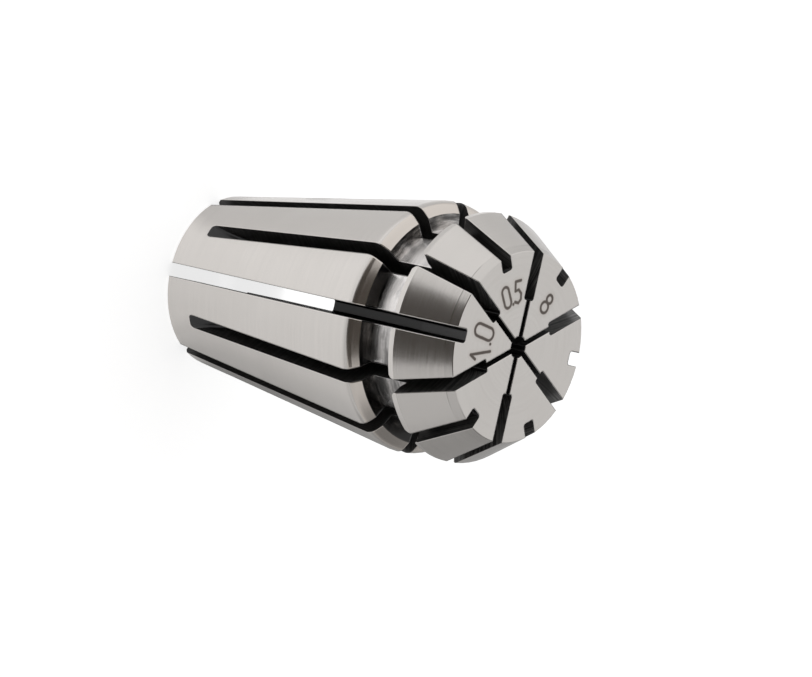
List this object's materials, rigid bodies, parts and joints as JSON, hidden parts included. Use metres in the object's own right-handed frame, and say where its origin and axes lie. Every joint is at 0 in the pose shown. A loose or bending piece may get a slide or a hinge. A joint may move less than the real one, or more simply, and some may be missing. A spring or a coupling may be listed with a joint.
{
  "type": "er collet",
  "caption": "One-piece spring collet with a long taper, nut groove, steep nose cone, fine bore and saw cuts from both ends.",
  "frame": {"origin": "centre of the rear face, the small end that the collet stands on", "axes": "+Z along the axis from the rear face to the front face; a rear saw cut lies on +X and a front saw cut at 30 degrees from it"},
  "size_m": [0.0114, 0.0114, 0.018],
  "materials": {
    "ground_steel": "fine-ground and turned hardened steel, satin, with sawn slot walls"
  },
  "bodies": {
    "root": {"collet": "ground_steel"}
  },
  "joints": []
}
